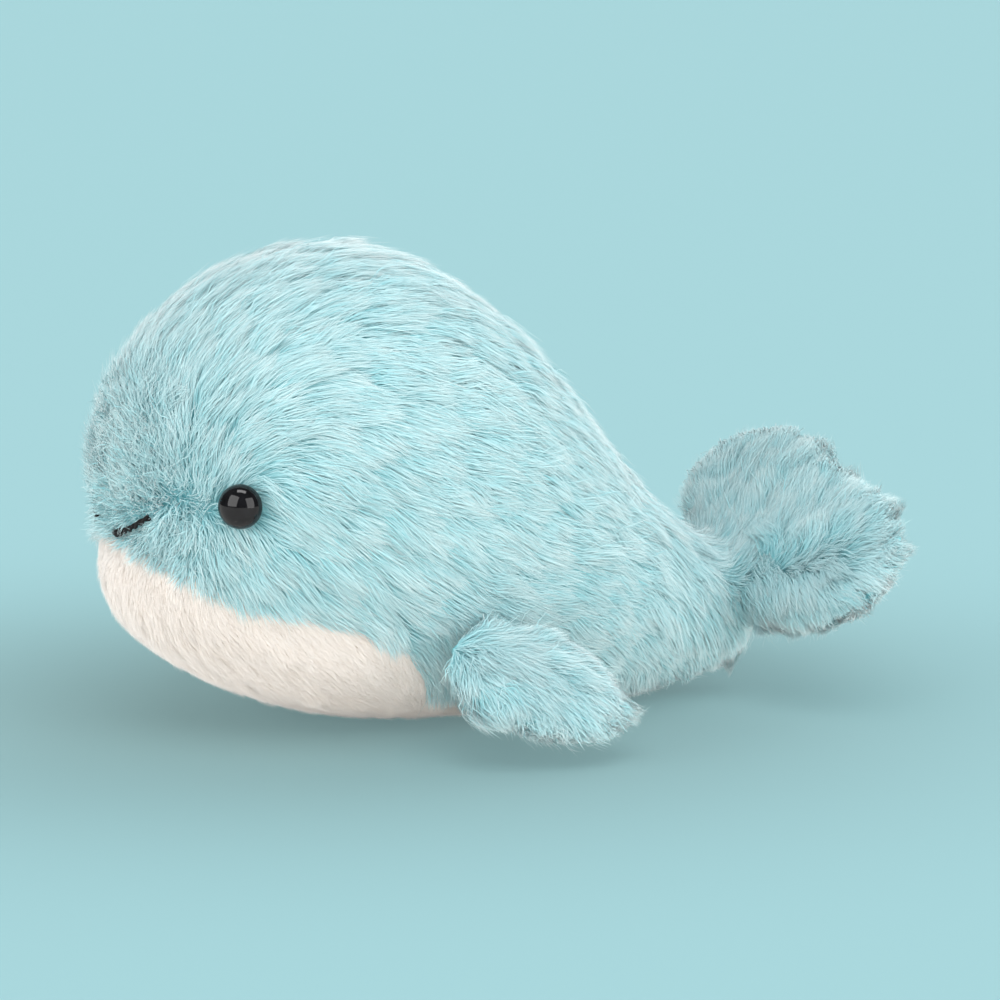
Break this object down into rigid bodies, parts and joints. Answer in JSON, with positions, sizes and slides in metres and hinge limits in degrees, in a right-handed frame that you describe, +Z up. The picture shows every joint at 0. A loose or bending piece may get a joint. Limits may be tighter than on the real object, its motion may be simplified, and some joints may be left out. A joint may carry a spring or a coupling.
{
  "type": "plush whale",
  "caption": "Stuffed whale toy of long-pile fur with a short-plush belly, plastic eyes, a sewn mouth, and flippers and tail flukes that bend at their seams.",
  "frame": {"origin": "on the floor under the middle of the whale's overall box", "axes": "+Z up, the whale faces -Y with its tail at +Y, and its left side is +X"},
  "size_m": [0.16, 0.1984, 0.1176],
  "materials": {
    "fur": "long-pile faux fur, pale blue-green with lighter tips",
    "plush": "short plush, cream",
    "fill": "white polyester fibre",
    "eye": "polished black",
    "washer": "plain white, hidden inside the head",
    "thread": "black embroidery thread"
  },
  "bodies": {
    "torso": {"body_panel_left": "fur", "body_panel_right": "fur", "belly_panel": "plush", "body_stuffing": "fill", "eye_left": "eye", "eye_right": "eye", "eye_washer_left": "washer", "eye_washer_right": "washer", "mouth_thread": "thread"},
    "left_flipper": {"flipper_left_upper": "fur", "flipper_left_under": "fur", "flipper_left_stuffing": "fill"},
    "right_flipper": {"flipper_right_upper": "fur", "flipper_right_under": "fur", "flipper_right_stuffing": "fill"},
    "tail_flukes": {"fluke_panel_upper": "fur", "fluke_panel_under": "fur", "fluke_stuffing": "fill"}
  },
  "joints": [
    {"name": "left_flipper_bend", "type": "hinge", "parent": "torso", "child": "left_flipper", "pos_m": [0.05188, -0.02435, 0.02866], "axis": [0.2079, -0.9781, 0], "range_deg": [-5, 60], "stiffness_Nm_per_rad": 0.03},
    {"name": "right_flipper_bend", "type": "hinge", "parent": "torso", "child": "right_flipper", "pos_m": [-0.05214, -0.0243, 0.02866], "axis": [0.2079, 0.9781, 0], "range_deg": [-5, 60], "stiffness_Nm_per_rad": 0.03},
    {"name": "tail_bend", "type": "hinge", "parent": "torso", "child": "tail_flukes", "pos_m": [0, 0.05662, 0.02166], "axis": [0.9703, 0, -0.2419], "range_deg": [-25, 15], "stiffness_Nm_per_rad": 0.25}
  ]
}
